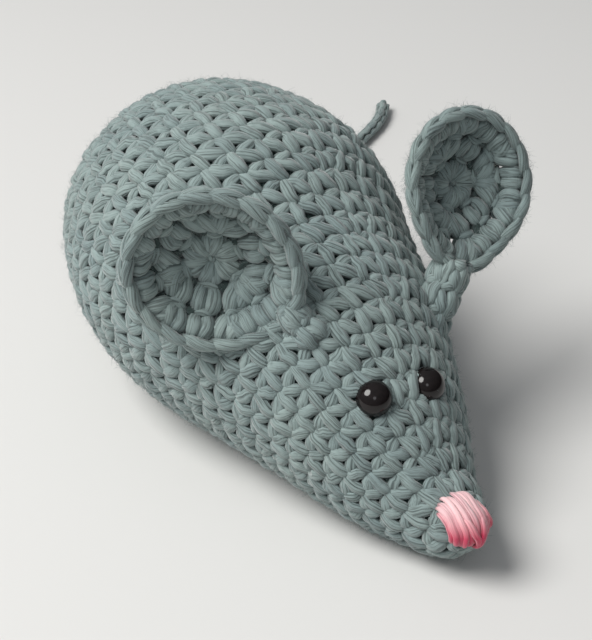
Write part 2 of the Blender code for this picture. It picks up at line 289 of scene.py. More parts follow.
def body_profile():
    """Distance from the rump, radius, axis height and length along the back, finely sampled."""
    distance, radius, underside = (np.array(column) for column in zip(*STATIONS))
    centre = underside + radius
    place = np.linspace(0, len(STATIONS) - 1, 900)
    index = np.minimum(np.floor(place).astype(int), len(STATIONS) - 2)

    def column(values, mirrored):
        values = np.concatenate(([mirrored * values[1]], values, [mirrored * values[-2]]))
        return through(*(values[index + step] for step in range(4)), place - index)

    # the distance simply turns back at the ends, so only the radius changes sign there
    distance, radius, centre = column(distance, 1), column(radius, -1), column(centre, 1)
    along = np.concatenate(([0], np.cumsum(np.hypot(np.diff(distance), np.diff(centre + radius)))))
    return distance, radius, centre, along


PROFILE_DISTANCE, PROFILE_RADIUS, PROFILE_CENTRE, PROFILE_ALONG = body_profile()
ROUNDS = round(PROFILE_ALONG[-1] / ROUND_HEIGHT)
ROUND_STEP = PROFILE_ALONG[-1] / ROUNDS
PROFILE_SLOPES = [np.gradient(values, PROFILE_ALONG)
                  for values in (PROFILE_DISTANCE, PROFILE_RADIUS, PROFILE_CENTRE)]


def floor_flattened(height):
    """Height after the stuffed belly settles on the floor, and how fast it still changes."""
    soft = FLOOR_SOFTNESS
    bent = (height + soft) ** 2 / (4 * soft)
    settled = np.where(height > soft, height, np.where(height < -soft, 0.0, bent))
    return settled, np.clip((height + soft) / (2 * soft), 0, 1)


def body_surface(across, along):
    """Points and outward normals of the body; across is a share of the ring, along counts rounds."""
    turn = across * 2 * math.pi
    travel = np.clip(along, 0, ROUNDS) * ROUND_STEP
    distance, radius, centre = (np.interp(travel, PROFILE_ALONG, values)
                                for values in (PROFILE_DISTANCE, PROFILE_RADIUS, PROFILE_CENTRE))
    towards, widening, rising = (np.interp(travel, PROFILE_ALONG, values) for values in PROFILE_SLOPES)
    sine, cosine = np.sin(turn), np.cos(turn)
    height, slope = floor_flattened(centre + radius * cosine)
    points = np.stack([radius * sine + ORIGIN.x,
                       ORIGIN.y + BODY_LENGTH / 2 - distance, height], axis=-1)
    side = np.stack([cosine, np.zeros_like(sine), -sine * slope], axis=-1)
    forward = np.stack([widening * sine, -towards, (rising + widening * cosine) * slope], axis=-1)
    return points, unit(np.cross(forward, side))


def ear_frame(ear):
    """The bowl's centre and its axes: towards the far rim, across, and out of the opening."""
    reach = Vector(ear["reach"]).normalized()
    facing = Vector(ear["facing"])
    facing = (facing - facing.dot(reach) * reach).normalized()
    centre = Vector(ear["centre"]) * MM + ORIGIN
    return tuple(np.array(vector) for vector in (centre, reach, facing.cross(reach), facing))


def ear_points(ear, out, turn):
    """Points of the bowl's middle surface: out 0 at its centre, 1 at its rim; turn 0 at the sewn corner."""
    centre, reach, across, facing = ear_frame(ear)
    turn = (turn + math.pi) % (2 * math.pi) - math.pi
    corner = 1 + ear["corner"] * np.exp(-(turn / EAR_CORNER_SPREAD) ** 2) * out
    spread = ear["radius"] * corner * np.sin(out * EAR_CAP_ANGLE) / math.sin(EAR_CAP_ANGLE)
    sink = (EAR_DEPTH * (np.cos(out * EAR_CAP_ANGLE) - math.cos(EAR_CAP_ANGLE))
            / (1 - math.cos(EAR_CAP_ANGLE)))
    spread, sink, turn = spread[..., None], sink[..., None], turn[..., None]
    return (centre - reach * np.cos(turn) * spread
            + across * np.sin(turn) * spread * ear["width"] - facing * sink)


def ear_normals(ear, out, turn):
    """Directions from the bowl's surface towards its opening."""
    step = 0.02
    out = np.maximum(out, 2 * step)
    inward = ear_points(ear, out - step, turn) - ear_points(ear, out + step, turn)
    around = ear_points(ear, out, turn + step) - ear_points(ear, out, turn - step)
    normal = unit(np.cross(inward, around))
    return normal * np.sign(dot(normal, ear_frame(ear)[3]))


def ear_side(ear, inner):
    """The ear's inner or outer yarn surface as a function of (across, along) like the body's."""
    sign = 1 if inner else -1

    def surface(across, along):
        turn = -sign * across * 2 * math.pi
        out = np.interp(along, range(len(EAR_ROUNDS)), EAR_ROUNDS)
        past = along - (len(EAR_ROUNDS) - 1)
        out = np.where(past > 0, EAR_ROUNDS[-1] + past * EAR_EDGE_STEP, out)
        normals = ear_normals(ear, out, turn) * sign
        return ear_points(ear, out, turn) + normals * EAR_THICKNESS / 2, normals

    return surface


def tube_surface(line, up, pitch, radius):
    """Surface round a line of points: across is a share of the turn from up, along counts pitches."""
    ahead = unit(np.gradient(line, axis=0))
    up = unit(up - dot(up, ahead) * ahead)
    side = np.cross(ahead, up)
    length = lengths_along(line)
    radius = np.broadcast_to(radius, len(line))

    def surface(across, along):
        travel = along * pitch
        centre, upward, sideways = (
            np.stack([np.interp(travel, length, values[:, axis]) for axis in range(3)], axis=-1)
            for values in (line, up, side))
        turn = across[..., None] * 2 * math.pi
        normals = unit(upward * np.cos(turn) + sideways * np.sin(turn))
        return centre + normals * np.interp(travel, length, radius)[..., None], normals

    return surface, length[-1]


# ------------ yarn

def ply_section(plies):
    """Angles round a strand and whether each is a ply's ridge: plies show above, beneath it is plain."""
    ridged = np.radians(np.linspace(*PLY_ANGLES, 2 * plies + 1))
    under = np.radians(UNDER_ANGLES)
    ridge = np.concatenate((np.arange(2 * plies + 1) % 2, np.full(len(under), UNDER_RIDGE)))
    return np.concatenate((ridged, under)), ridge


def sweep(surface, routes, size, bake_place, taper=LEG_TAPER, rings=LEG_RINGS, scale=1.0, twist=0.45):
    """Strands of yarn along routes of (across, along, lift): vertices, colours and places on the maps.

    The colours hold how near a point is to a ply's ridge and its height in the stitch, which the material
    turns into painted shade in the grooves and deep in the stitches, and the strand's tone.
    """
    half_width, half_height, plies = size
    routes = smooth_routes(routes, rings)
    strands = len(routes)
    points, normals = surface(routes[..., 0], routes[..., 1])
    centre = points + normals * routes[..., 2:3] * MM
    ahead = unit(np.gradient(centre, axis=1))
    whole = (centre[:, -1] - centre[:, 0])[:, None, :]
    whole = unit(whole - dot(whole, normals) * normals)
    flat = ahead - dot(ahead, normals) * normals + DRAWN_STRAIGHT * whole
    side = unit(np.cross(normals, flat))
    side = unit(side - dot(side, ahead) * ahead)
    upward = np.cross(ahead, side)
    travel = np.linspace(0, 1, rings)
    swell = np.interp(travel, *zip(*taper))[None, :] * np.broadcast_to(scale, (strands,))[:, None]
    swell = swell * chance.uniform(*THICKNESS_RANGE, (strands, 1))
    angle, ridge = ply_section(plies)
    winding = twist * chance.uniform(*WINDING_RANGE, (strands, 1, 1)) * (travel - 0.5)[None, :, None]
    turned = (angle + chance.uniform(-PLY_DRIFT, PLY_DRIFT, (strands, len(ridge))))[:, None] + winding
    together = chance.uniform(*PLY_CLOSENESS, (strands, len(ridge)))
    ridge = (ridge + (1 - ridge) * together)[:, None]
    uneven = chance.uniform(-PLY_UNEVENNESS, PLY_UNEVENNESS, (strands, 1, len(angle)))
    depth = 1 - GROOVE * (1 - ridge) + ridge * uneven
    wide = (half_width * swell)[..., None] * np.cos(turned) * depth
    tall = (half_height * swell)[..., None] * np.sin(turned) * depth
    vertices = (centre[:, :, None] + side[:, :, None] * wide[..., None]
                + upward[:, :, None] * tall[..., None])
    lifted = routes[..., 2:3] * MM + tall
    tone = chance.uniform(0, 1, (strands, 1, 1))
    # kept for painted shade: nearness to a ply's ridge and depth in the stitch
    colours = np.stack(np.broadcast_arrays(
        ridge, np.clip(1 + lifted / SHADOW_DEPTH, 0, 1), tone, 1.0), axis=-1)
    return dict(vertices=vertices, colours=colours, bake=np.asarray(bake_place, float), tone=tone[:, 0, 0])


def loose_fibres(surface, across, along, bake_place):
    """Fine fibres that leave the yarn at a slant and curl, in the same form as a sweep."""
    count = len(across)
    points, normals = surface(across, along)
    forward = unit(surface(across, along + 0.04)[0] - points)
    side = np.cross(normals, forward)
    heading = chance.uniform(0, 2 * math.pi, (count, 1))
    away = forward * np.cos(heading) + side * np.sin(heading)
    bend = side * np.cos(heading) - forward * np.sin(heading)
    shortest, longest = FIBRE_LENGTHS
    reach = (shortest + (longest - shortest) * chance.uniform(0, 1, (count, 1)) ** 2)[:, None]
    rise, curl, droop = (chance.uniform(low, high, (count, 1, 1))
                         for low, high in (FIBRE_RISE, FIBRE_CURL, FIBRE_DROOP))
    share = np.linspace(0, 1, FIBRE_RINGS)[None, :, None]
    centre = ((points - normals * FIBRE_ROOT)[:, None] + reach * (
        share * (1 - 0.5 * rise) * away[:, None] + share ** 2 * curl * bend[:, None]
        + (share * rise - share ** 2 * droop * rise) * normals[:, None]))
    ahead = unit(np.gradient(centre, axis=1))
    first = unit(np.cross(ahead, bend[:, None] + 0.2 * normals[:, None]))
    second = np.cross(ahead, first)
    turn = round_angles(FIBRE_SIDES)[:, None]
    thick = FIBRE_RADIUS * (1 - (1 - FIBRE_TIP) * share)[..., None]
    vertices = centre[:, :, None] + thick * (
        first[:, :, None] * np.cos(turn) + second[:, :, None] * np.sin(turn))
    tone = chance.uniform(0, 1, (count, 1, 1))
    ridge = np.ones((count, FIBRE_RINGS, FIBRE_SIDES))
    colours = np.stack(np.broadcast_arrays(ridge, 1.0, tone, 1.0), axis=-1)
    return dict(vertices=vertices, colours=colours, bake=np.asarray(bake_place, float), tone=tone[:, 0, 0])


def on_map(area, across, along):
    """Places on the unwrap, as shares of the way over an area of (left, bottom, width, height)."""
    left, bottom, width, height = area
    return np.stack(np.broadcast_arrays(left + width * across, bottom + height * along), axis=-1)


def strand_arrays(strands):
    """Flat vertex, face and map arrays of one sweep, its tubes open at their buried ends."""
    vertices = strands["vertices"]
    count, rings, around = vertices.shape[:3]
    ring, point = np.meshgrid(np.arange(rings - 1), np.arange(around), indexing="ij")
    after = (point + 1) % around
    face = np.stack([ring * around + point, ring * around + after,
                     (ring + 1) * around + after, (ring + 1) * around + point], axis=-1).reshape(-1, 4)
    faces = face[None] + (np.arange(count) * rings * around)[:, None, None]
    corner = np.stack([np.stack([point / around, ring / (rings - 1)], -1),
                       np.stack([(point + 1) / around, ring / (rings - 1)], -1),
                       np.stack([(point + 1) / around, (ring + 1) / (rings - 1)], -1),
                       np.stack([point / around, (ring + 1) / (rings - 1)], -1)], axis=2).reshape(-1, 4, 2)
    bake = strands["bake"][:, None, None, :] + (corner[None] - 0.5) * BAKE_PATCH
    fibre = corner[None] + strands["tone"][:, None, None, None] * np.array(FIBRE_PATTERN_SHIFT)
    return (vertices.reshape(-1, 3), faces.reshape(-1, 4), strands["colours"].reshape(-1, 4),
            bake.reshape(-1, 2), fibre.reshape(-1, 2))


def yarn_piece(name, sweeps, material):
    """One mesh object from several sweeps, with nothing below the floor."""
    offset, parts = 0, []
    for vertices, faces, colours, bake, fibre in map(strand_arrays, sweeps):
        parts.append((vertices, faces + offset, colours, bake, fibre))
        offset += len(vertices)
    vertices, faces, colours, bake, fibre = (np.concatenate(column) for column in zip(*parts))
    vertices[:, 2] = np.maximum(vertices[:, 2], 0.0)
    made = mesh_object(name, vertices, faces, material)
    mesh = made.data
    attribute = mesh.color_attributes.new("yarn", "FLOAT_COLOR", "POINT")
    attribute.data.foreach_set("color", colours.astype(np.float32).ravel())
    mesh.uv_layers.new(name="OFBake").data.foreach_set("uv", bake.astype(np.float32).ravel())
    mesh.uv_layers.new(name="fibre").data.foreach_set("uv", fibre.astype(np.float32).ravel())
    mesh.uv_layers["OFBake"].active = True
    return made


def mesh_object(name, vertices, faces, material):
    vertices, faces = np.asarray(vertices, np.float32), np.asarray(faces, np.int32)
    mesh = bpy.data.meshes.new(name)
    mesh.vertices.add(len(vertices))
    mesh.vertices.foreach_set("co", vertices.ravel())
    mesh.loops.add(faces.size)
    mesh.loops.foreach_set("vertex_index", faces.ravel())
    mesh.polygons.add(len(faces))
    mesh.polygons.foreach_set("loop_start", np.arange(0, faces.size, faces.shape[1], dtype=np.int32))
    mesh.update(calc_edges=True)
    mesh.validate()
    mesh.shade_smooth()
    mesh.materials.append(material)
    made = bpy.data.objects.new(name, mesh)
    bpy.context.collection.objects.link(made)
    return made


def grid_faces(rows, columns):
    """Faces of a grid of points with rows along and columns round it."""
    row, column = np.meshgrid(np.arange(rows - 1), np.arange(columns), indexing="ij")
    after = (column + 1) % columns
    return np.stack([row * columns + column, row * columns + after,
                     (row + 1) * columns + after, (row + 1) * columns + column], axis=-1).reshape(-1, 4)


# ------------ rounds of stitches

def stitch_counts():
    """Stitches in each round: never fewer up to the widest place, and never more after it."""
    edge = np.interp(np.arange(ROUNDS + 1) * ROUND_STEP, PROFILE_ALONG, PROFILE_RADIUS)
    wanted = 2 * math.pi * edge / np.interp(edge, (FULL_FROM, FULL_AT), (STITCH_WIDTH, FULL_WIDTH))
    widest = int(np.argmax(edge))
    counts = [FEWEST_STITCHES]
    for place in range(1, ROUNDS + 1):
        count = max(FEWEST_STITCHES, COUNT_STEP * round(wanted[place] / COUNT_STEP))
        last = counts[-1]
        if place <= widest:
            count = max(last, min(count, last + MOST_CHANGE))
        else:
            count = min(last, max(count, last - MOST_CHANGE))
        counts.append(count)
    return counts


def lay_out(counts):
    """Every stitch as (round, base place, top place, base width, top width), places as shares of a ring."""
    stitches, start, before = [], 0.0, counts[0]
    for place, count in enumerate(counts[1:]):
        first = start + LEAN / count
        for index in range(count):
            hole, following = (round((index + step) * before / count) for step in (0, 1))
            worked_into = max(following - hole, 1)  # two holes where the round loses a stitch
            for part in range(worked_into):
                stitches.append((place, start + (hole + part) / before,
                                 first + (index + part / worked_into) / count,
                                 max(following - hole, NARROWEST) / worked_into / before,
                                 1 / worked_into / count))
        start, before = first, count
    return np.array(stitches)


def worked(stitches, leg):
    """Routes of one leg in each stitch."""
    shake = chance.uniform(-1, 1, (len(stitches), len(leg), 3)) * np.array(STITCH_SHAKE)
    shake[:, [0, -1]] *= END_SHAKE
    across, along, lift = np.moveaxis(np.array(leg)[None] + shake, -1, 0)
    place, base, top, base_width, top_width = (stitches[:, column, None] for column in range(5))
    low, high = base + across * base_width, top + across * top_width
    return np.stack([(1 - along) * low + along * high, place + along, lift], axis=-1)


def stitch_places(stitches, rounds, area, nudge):
    """Where each stitch's patch of colour lies on the unwrap: its own root, nudged from leg to leg."""
    across = (stitches[:, 2] + nudge * stitches[:, 4]) % 1
    return on_map(area, across, (stitches[:, 0] + 0.5) / rounds)


# ------------ materials

def new_material(name):
    made = bpy.data.materials.new(name)
    made.use_nodes = True
    nodes = made.node_tree.nodes
    return made, made.node_tree, nodes, nodes["Principled BSDF"]


def set_inputs(node, values):
    for name, value in values.items():
        node.inputs[name].default_value = value


def ramp(tree, value, stops):
    """A colour that follows a value through (position, colour) stops."""
    node = tree.nodes.new("ShaderNodeValToRGB")
    elements = node.color_ramp.elements
    while len(elements) < len(stops):
        elements.new(0.5)
    for element, (position, colour) in zip(elements, stops):
        element.position, element.color = position, (*colour, 1)
    tree.links.new(value, node.inputs[0])
    return node.outputs[0]


def noise(tree, place, scale, detail=2.0):
    node = tree.nodes.new("ShaderNodeTexNoise")
    set_inputs(node, {"Scale": scale, "Detail": detail})
    tree.links.new(place, node.inputs["Vector"])
    return node.outputs[0]


def map_range(tree, value, span, wanted):
    node = tree.nodes.new("ShaderNodeMapRange")
    set_inputs(node, dict(zip(("From Min", "From Max", "To Min", "To Max"), (*span, *wanted))))
    tree.links.new(value, node.inputs[0])
    return node.outputs[0]


def own_place(tree):
    """Object coordinates, in metres."""
    return tree.nodes.new("ShaderNodeTexCoord").outputs["Object"]


def fibre_noise(tree):
    """Fine streaks along the strands."""
    place = tree.nodes.new("ShaderNodeUVMap")
    place.uv_map = "fibre"
    stretch = tree.nodes.new("ShaderNodeMapping")
    set_inputs(stretch, {"Scale": (36, 2.2, 1)})
    tree.links.new(place.outputs[0], stretch.inputs[0])
    return noise(tree, stretch.outputs[0], 1.0, 3.0)


def mixed(tree, kind, factor, first, second):
    """A colour mix; each input is a socket, a number or a colour."""
    node = tree.nodes.new("ShaderNodeMix")
    node.data_type, node.blend_type = "RGBA", kind
    for socket, value in ((node.inputs[0], factor), (node.inputs[6], first), (node.inputs[7], second)):
        if isinstance(value, bpy.types.NodeSocket):
            tree.links.new(value, socket)
        else:
            socket.default_value = value if isinstance(value, (int, float)) else (*value, 1)
    return node.outputs[2]


def yarn_material(name, light, deep, roughness, sheen, streaks=0.24, between=(0.27, 0.29, 0.29), low=None):
    """Cotton strands with painted shade between the plies and deep in the stitches, and fine fibres.

    low is (colour, height where it is full, height where it is gone): painted shade and painted reddish
    bounce light that make the thread a deeper pink underneath.
    """
    made, tree, nodes, shader = new_material(name)
    strand = nodes.new("ShaderNodeVertexColor")
    strand.layer_name = "yarn"
    parts = nodes.new("ShaderNodeSeparateColor")
    tree.links.new(strand.outputs["Color"], parts.inputs[0])
    ridge, height, tone = parts.outputs
    fibres, place = fibre_noise(tree), own_place(tree)
    half_shade = [0.5 * dark + 0.2 * full for dark, full in zip(deep, light)]
    # painted shade deep in the stitches: the colour darkens with depth, down to the deep colour
    colour = ramp(tree, height, ((0.05, deep), (0.50, half_shade), (0.86, light)))
    for value, stops in (
            # painted shade in the grooves between plies, down to the between colour
            (ridge, ((0.0, between), (0.65, (1, 1, 1)))),
            (tone, ((0.0, (0.88, 0.89, 0.90)), (1.0, (1.08, 1.07, 1.06)))),
            (fibres, ((0.36, (1 - 2 * streaks,) * 3), (0.50, (1 + streaks * 0.3,) * 3))),
            (noise(tree, place, 60.0), ((0.35, (0.95, 0.96, 0.97)), (0.65, (1.04, 1.03, 1.02))))):
        colour = mixed(tree, "MULTIPLY", 1.0, colour, ramp(tree, value, stops))
    # painted shade and painted reddish bounce light: the thread turns a deeper pink towards the bottom
    if low:
        axes = nodes.new("ShaderNodeSeparateXYZ")
        tree.links.new(place, axes.inputs[0])
        shade = [wanted / full for wanted, full in zip(low[0], light)]
        colour = mixed(tree, "MULTIPLY", map_range(tree, axes.outputs[2], low[1:], (1, 0)), colour, shade)
    tree.links.new(colour, shader.inputs["Base Color"])
    bump = nodes.new("ShaderNodeBump")
    set_inputs(bump, {"Strength": 0.6, "Distance": 0.15 * MM})
    tree.links.new(fibres, bump.inputs["Height"])
    tree.links.new(bump.outputs[0], shader.inputs["Normal"])
    set_inputs(shader, {"Roughness": roughness, "Sheen Weight": sheen, "Sheen Roughness": 0.5,
                        "Specular IOR Level": 0.3})
    return made


def core_material():
    """A dark sheet behind the stitches: mottled painted shade for the gaps between them."""
    made, tree, _, shader = new_material("core_painted_shade")
    darker, lighter = ([share * value for value in COLOURS["yarn_painted_shade"]] for share in (0.5, 1.3))
    colour = ramp(tree, noise(tree, own_place(tree), 900.0), ((0.3, darker), (0.7, lighter)))
    tree.links.new(colour, shader.inputs["Base Color"])
    set_inputs(shader, {"Roughness": 0.95, "Specular IOR Level": 0.1})
    return made


def bead_material():
    """Black glossy plastic with faint handling marks."""
    made, tree, _, shader = new_material("bead_plastic")
    marks = noise(tree, own_place(tree), 1400.0, 4.0)
    tree.links.new(map_range(tree, marks, (0, 1), (0.06, 0.14)), shader.inputs["Roughness"])
    lighter = [1.6 * value for value in COLOURS["bead"]]
    colour = ramp(tree, marks, ((0.35, COLOURS["bead"]), (0.7, lighter)))
    tree.links.new(colour, shader.inputs["Base Color"])
    set_inputs(shader, {"IOR": 1.38, "Coat Weight": 0.15, "Coat Roughness": 0.03})
    return made


def floor_material():
    made, _, _, shader = new_material("pale_floor")
    set_inputs(shader, {"Base Color": (*COLOURS["floor"], 1), "Roughness": 0.9, "Specular IOR Level": 0.1})
    return made


# ------------ camera, floor and light

def place_camera():
    turn, rise, roll = CAMERA_TURN, CAMERA_RISE, CAMERA_ROLL
    back = Vector((-math.sin(turn) * math.cos(rise), -math.cos(turn) * math.cos(rise), math.sin(rise)))
    right = (-back).cross(Vector((0, 0, 1))).normalized()
    up = right.cross(-back)
    tilted = math.cos(roll) * right + math.sin(roll) * up
    upward = -math.sin(roll) * right + math.cos(roll) * up
    data = bpy.data.cameras.new("camera")
    data.lens, data.sensor_width = CAMERA_LENS, 36
    data.clip_start, data.clip_end = 0.01, 20
    camera = bpy.data.objects.new("camera", data)
    bpy.context.collection.objects.link(camera)
    place = Vector(CAMERA_TARGET) * MM + ORIGIN + back * CAMERA_DISTANCE
    axes = Matrix((tilted, upward, back)).transposed().to_4x4()
    camera.matrix_world = Matrix.Translation(place) @ axes
    bpy.context.scene.camera = camera


def area_light(name, place, size, power, colour):
    data = bpy.data.lights.new(name, "AREA")
    data.shape, data.size, data.energy, data.color = "DISK", size, power, colour
    lamp = bpy.data.objects.new(name, data)
    bpy.context.collection.objects.link(lamp)
    lamp.location = place
    lamp.rotation_mode = "QUATERNION"
    lamp.rotation_quaternion = (Vector(LIGHT_TARGET) - lamp.location).to_track_quat("-Z", "Y")


def make_studio():
    corners = [(x * FLOOR_REACH, y * FLOOR_REACH, 0) for x, y in ((-1, -1), (1, -1), (1, 1), (-1, 1))]
    mesh_object("floor", corners, [(0, 1, 2, 3)], floor_material())
    for name, settings in LIGHTS.items():
        area_light(name, *settings)
    make_sky()
    bpy.context.scene.view_settings.view_transform = "Standard"


def make_sky():
    """Soft light from all round, brighter on the side of the key light."""
    world = bpy.data.worlds.new("studio")
    bpy.context.scene.world = world
    world.use_nodes = True
    tree = world.node_tree
    background = tree.nodes["Background"]
    background.inputs[0].default_value = SKY_COLOUR
    place, towards_key = tree.nodes.new("ShaderNodeTexCoord"), tree.nodes.new("ShaderNodeVectorMath")
    towards_key.operation = "DOT_PRODUCT"
    towards_key.inputs[1].default_value = SKY_BRIGHT_SIDE
    tree.links.new(place.outputs["Generated"], towards_key.inputs[0])
    brightness = map_range(tree, towards_key.outputs["Value"], (-0.5, 1), (SKY_DIMMEST, SKY_BRIGHTEST))
    tree.links.new(brightness, background.inputs[1])


# ------------ the toy's pieces

def riding(piece, slot, *nodes):
    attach(piece, "root")
    if nodes:
        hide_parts(*nodes)


def tail_frame():
    """Points along the tail and the cord's upper side at each, carried along without twist."""
    route = np.array(TAIL_ROUTE) * MM + np.array(ORIGIN)
    line = smooth_routes(route[None], TAIL_POINTS)[0]
    up, current = np.zeros_like(line), np.array(TAIL_UP)
    for index, direction in enumerate(unit(np.gradient(line, axis=0))):
        current = unit(current - (current @ direction) * direction)
        up[index] = current
    return line, up


def chain_column(links, first, mirrored, centre_angle, arm=CHAIN_ARM):
    """Routes of one side of a column of chain stitches round a tube."""
    arm = np.array(arm)
    sign = -1 if mirrored else 1
    start = np.arange(links)[:, None] + first
    across = (centre_angle + sign * arm[None, :, 1]) / 360 + 0 * start
    shake = chance.uniform(-CHAIN_SHAKE, CHAIN_SHAKE, (links, len(arm)))
    return np.stack([across, start + arm[None, :, 0] + shake, arm[None, :, 2] + 0 * start], axis=-1)


def make_tail(material):
    line, up = tail_frame()
    surface, length = tube_surface(line, up, TAIL_LINK, TAIL_RADIUS)
    links = round(length / TAIL_LINK)
    sweeps = []
    for column, (angle, first) in enumerate(TAIL_COLUMNS):
        for mirrored in (False, True):
            routes = chain_column(links, first, mirrored, angle)
            routes[..., 1] = np.clip(routes[..., 1], 0.0, length / TAIL_LINK)
            places = on_map(TAIL_MAP, 0.2 + 0.3 * column + 0.12 * mirrored, np.arange(links) / links)
            sweeps.append(sweep(surface, routes, CHAIN_SIZE, places, scale=CHAIN_SCALE))
    across, along = chance.uniform(0, 1, TAIL_FIBRES), chance.uniform(0, length / TAIL_LINK, TAIL_FIBRES)
    places = on_map(WHOLE_MAP, across, along * TAIL_LINK / length)
    fuzz = yarn_piece("fuzz_tail", [loose_fibres(surface, across, along, places)], material)
    tail = yarn_piece("tail_cord", sweeps, material)
    riding(yarn_piece("tail_sewing", tail_root_sweeps(line, up), material), "yarn")
    # the tail's core is painted in the same dark shade as the body's
    core = tube_piece("tail_core", line, up, TAIL_RADIUS * TAIL_CORE, core_material())
    riding(tail, "yarn", "tail")
    for piece in (core, fuzz):
        riding(piece, "yarn")
        piece.parent = tail
        piece.matrix_parent_inverse = tail.matrix_world.inverted()


def tail_root_sweeps(line, up):
    """Strands that sew the tail on, from inside the rump to a little way along the tail."""
    ahead = unit(line[1] - line[0])
    root = line[0] + ahead * np.linspace(-TAIL_SEWING, TAIL_SEWING, 12)[:, None]
    surface, _ = tube_surface(root, np.broadcast_to(up[0], root.shape), TAIL_SEWING, TAIL_RADIUS)
    share = np.linspace(0, 1, len(TAIL_SEWING_LIFTS))
    angle = np.arange(TAIL_SEWING_STRANDS)[:, None] / TAIL_SEWING_STRANDS
    stray = chance.uniform(-0.02, 0.02, (TAIL_SEWING_STRANDS, len(share)))
    across = angle + TAIL_SEWING_TURN * share + stray
    reach = chance.uniform(*TAIL_SEWING_REACH, (TAIL_SEWING_STRANDS, 1))
    routes = np.stack([across, reach * share, TAIL_SEWING_LIFTS + 0 * across], axis=-1)
    places = on_map(TAIL_MAP, 0.9, angle[:, 0])
    return [sweep(surface, routes, TAIL_SEWING_SIZE, places)]


def tube_piece(name, line, up, radius, material, around=10, ends=0.2):
    """A plain tube whose ends narrow to a share of its radius."""
    ahead = unit(np.gradient(line, axis=0))
    upward = unit(up - dot(up, ahead) * ahead)
    side = np.cross(ahead, upward)
    turn = round_angles(around)[None, :, None]
    grow = np.ones(len(line))
    grow[0] = grow[-1] = ends
    points = line[:, None] + radius * grow[:, None, None] * (
        upward[:, None] * np.cos(turn) + side[:, None] * np.sin(turn))
    return mesh_object(name, points.reshape(-1, 3), grid_faces(len(line), around)[:, ::-1], material)


def make_body_core():
    """The core, which stands for the stuffed body and is painted dark as the shade between the stitches."""
    rows, columns = np.linspace(0, ROUNDS, 2 * ROUNDS + 1), 72
    across = np.broadcast_to(np.arange(columns) / columns, (len(rows), columns))
    points, normals = body_surface(across, np.broadcast_to(rows[:, None], across.shape))
    core = mesh_object("stuffed_body", (points - normals * CORE_DEPTH).reshape(-1, 3),
                       grid_faces(len(rows), columns)[:, ::-1], core_material())
    riding(core, "yarn", "trunk", "head")


def make_body_yarn(yarn):
    """Every stitch of the body, in a piece for each stretch of rounds."""
    stitches = lay_out(stitch_counts())
    width = 2 * math.pi * np.interp((stitches[:, 0] + 0.7) * ROUND_STEP, PROFILE_ALONG, PROFILE_RADIUS)
    scale = np.clip(width * (stitches[:, 3] + stitches[:, 4]) / 2 / FULL_WIDTH, *STITCH_SCALES) ** 0.5
    starts = [*BODY_PIECES.values(), ROUNDS]
    for name, first, last in zip(BODY_PIECES, starts, starts[1:]):
        inside = (stitches[:, 0] >= first) & (stitches[:, 0] < last)
        sweeps = stitch_sweeps(body_surface, stitches[inside], scale[inside], ROUNDS)
        riding(yarn_piece(name, sweeps, yarn), "yarn")


def make_body_fuzz(yarn):
    """Loose fibres all over the body, evenly by area."""
    rows = np.linspace(0.2, ROUNDS - 0.2, 400)
    share = np.cumsum(np.interp(rows * ROUND_STEP, PROFILE_ALONG, PROFILE_RADIUS))
    along = np.interp(chance.uniform(share[0], share[-1], BODY_FIBRES), share, rows)
    across = chance.uniform(0, 1, BODY_FIBRES)
    places = on_map(WHOLE_MAP, across, along / ROUNDS)
    riding(yarn_piece("fuzz_body", [loose_fibres(body_surface, across, along, places)], yarn), "yarn")


def stitch_sweeps(surface, stitches, scale, rounds, area=WHOLE_MAP):
    """All legs of the stitches on their right side."""
    return [sweep(surface, worked(stitches, leg), leg_size,
                  stitch_places(stitches, rounds, area, 0.33 * order),
                  taper=taper, rings=rings, scale=scale, twist=twist)
            for order, (leg, leg_size, taper, rings, twist) in enumerate(STITCH_LEGS)]


def make_ear(name, ear, yarn):
    stitches = lay_out((EAR_COUNTS[0], *EAR_COUNTS))
    rounds = len(EAR_COUNTS)
    inner, outer = ear_side(ear, True), ear_side(ear, False)
    size = ear["radius"] / EAR_PLAIN_RADIUS
    sweeps = []
    for order, (leg, leg_size, taper) in enumerate(INNER_LEGS):
        sweeps.append(sweep(inner, worked(stitches, leg), leg_size,
                            stitch_places(stitches, rounds, EAR_MAPS[0], 0.3 * order),
                            taper=taper, scale=size))
    for order, leg in enumerate(BACK_LEGS):
        sweeps.append(sweep(outer, worked(stitches, leg), BACK_SIZE,
                            stitch_places(stitches, rounds, EAR_MAPS[1], 0.3 * order),
                            scale=BACK_SCALE * size))
    sweeps += rim_sweeps(ear, size) + stem_sweeps(ear)
    for side, area in zip((inner, outer), EAR_MAPS):
        across = chance.uniform(0, 1, EAR_FIBRES)
        along = np.sqrt(chance.uniform(0.002, 1.12, EAR_FIBRES))
        sweeps.append(loose_fibres(side, across, rounds * along, on_map(area, across, along / 1.06)))
    riding(yarn_piece(f"yarn_{name}", sweeps, yarn), "yarn", name)


